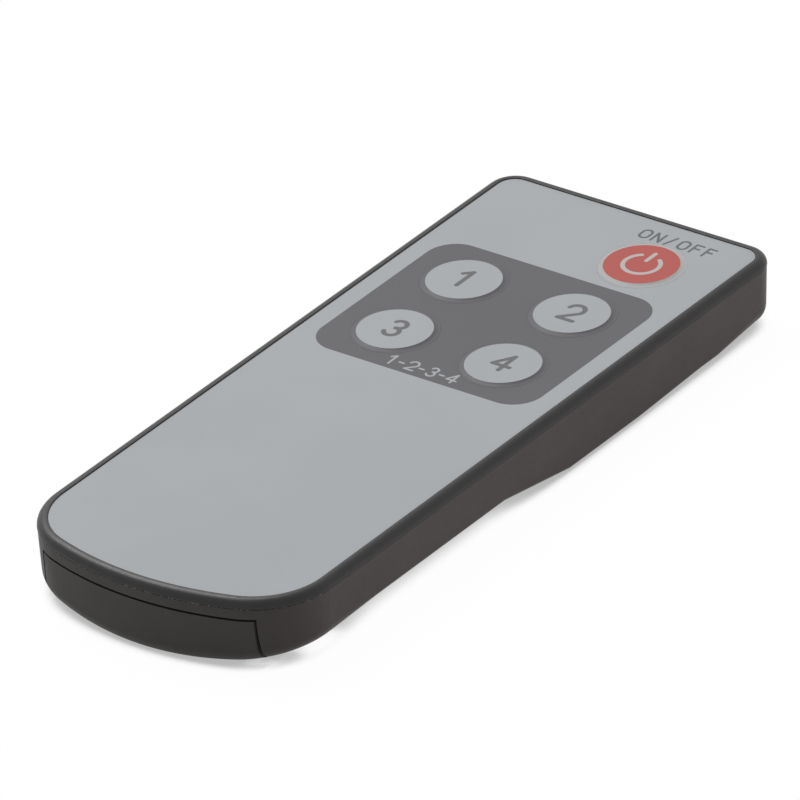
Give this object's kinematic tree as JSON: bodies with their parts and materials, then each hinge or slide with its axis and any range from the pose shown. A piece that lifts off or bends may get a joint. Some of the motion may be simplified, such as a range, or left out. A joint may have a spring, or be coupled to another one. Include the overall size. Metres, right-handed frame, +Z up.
{
  "type": "infrared remote control",
  "caption": "Slim hand-held infrared remote control with round number keys, a red power key and a coin-cell tray that slides out of its near end.",
  "frame": {"origin": "middle of the bounding box's bottom face, on the surface that the remote lies on", "axes": "+Y along the remote towards its lamp end, +Z up through the key face, +X to the right of someone who holds it and points it away"},
  "size_m": [0.0432, 0.1094, 0.0102],
  "materials": {
    "face_film": "silver grey printed film, satin",
    "key_white": "pale grey printed film, satin",
    "key_red": "coral red printed film, satin",
    "clear_adhesive": "adhesive sheet",
    "black_case": "charcoal moulded plastic, fine matte texture",
    "spring_steel": "bright strip",
    "spacer_film": "clear film",
    "board_laminate": "tan paper laminate",
    "chip_body": "moulded epoxy",
    "ceramic": "dipped coating",
    "can_metal": "bright can",
    "lamp_lens": "clear bluish resin",
    "cell_steel": "satin steel can"
  },
  "bodies": {
    "housing": {"face_label": "face_film", "label_adhesive": "clear_adhesive", "top_case": "black_case", "bottom_case": "black_case", "snap_dome_1": "spring_steel", "snap_dome_2": "spring_steel", "snap_dome_3": "spring_steel", "snap_dome_4": "spring_steel", "snap_dome_power": "spring_steel", "dome_spacer": "spacer_film", "circuit_board": "board_laminate", "controller_chip": "chip_body", "driver_transistor": "chip_body", "resonator": "ceramic", "capacitor": "can_metal", "chip_resistors": "chip_body", "ir_led": "lamp_lens", "negative_contact": "spring_steel", "positive_contact": "spring_steel"},
    "key_1": {"key_1": "key_white"},
    "key_2": {"key_2": "key_white"},
    "key_3": {"key_3": "key_white"},
    "key_4": {"key_4": "key_white"},
    "power_key": {"power_key": "key_red"},
    "tray": {"battery_tray": "black_case", "coin_cell": "cell_steel"},
    "latch": {"tray_latch": "black_case"}
  },
  "joints": [
    {"name": "key_1_press", "type": "slide", "parent": "housing", "child": "key_1", "axis": [0, 0, -1], "range_m": [0, 0.0003], "stiffness_N_per_m": 2500, "deforming": ["snap_dome_1"]},
    {"name": "key_2_press", "type": "slide", "parent": "housing", "child": "key_2", "axis": [0, 0, -1], "range_m": [0, 0.0003], "stiffness_N_per_m": 2500, "deforming": ["snap_dome_2"]},
    {"name": "key_3_press", "type": "slide", "parent": "housing", "child": "key_3", "axis": [0, 0, -1], "range_m": [0, 0.0003], "stiffness_N_per_m": 2500, "deforming": ["snap_dome_3"]},
    {"name": "key_4_press", "type": "slide", "parent": "housing", "child": "key_4", "axis": [0, 0, -1], "range_m": [0, 0.0003], "stiffness_N_per_m": 2500, "deforming": ["snap_dome_4"]},
    {"name": "power_key_press", "type": "slide", "parent": "housing", "child": "power_key", "axis": [0, 0, -1], "range_m": [0, 0.0003], "stiffness_N_per_m": 2500, "deforming": ["snap_dome_power"]},
    {"name": "tray_slide", "type": "slide", "parent": "housing", "child": "tray", "axis": [0, -1, 0], "range_m": [0, 0.037], "deforming": ["tray_latch"]},
    {"name": "latch_squeeze", "type": "hinge", "parent": "tray", "child": "latch", "pos_m": [0.0155, -0.0273, 0.002], "axis": [0, 0, -1], "range_deg": [0, 2.5], "stiffness_Nm_per_rad": 0.05}
  ]
}
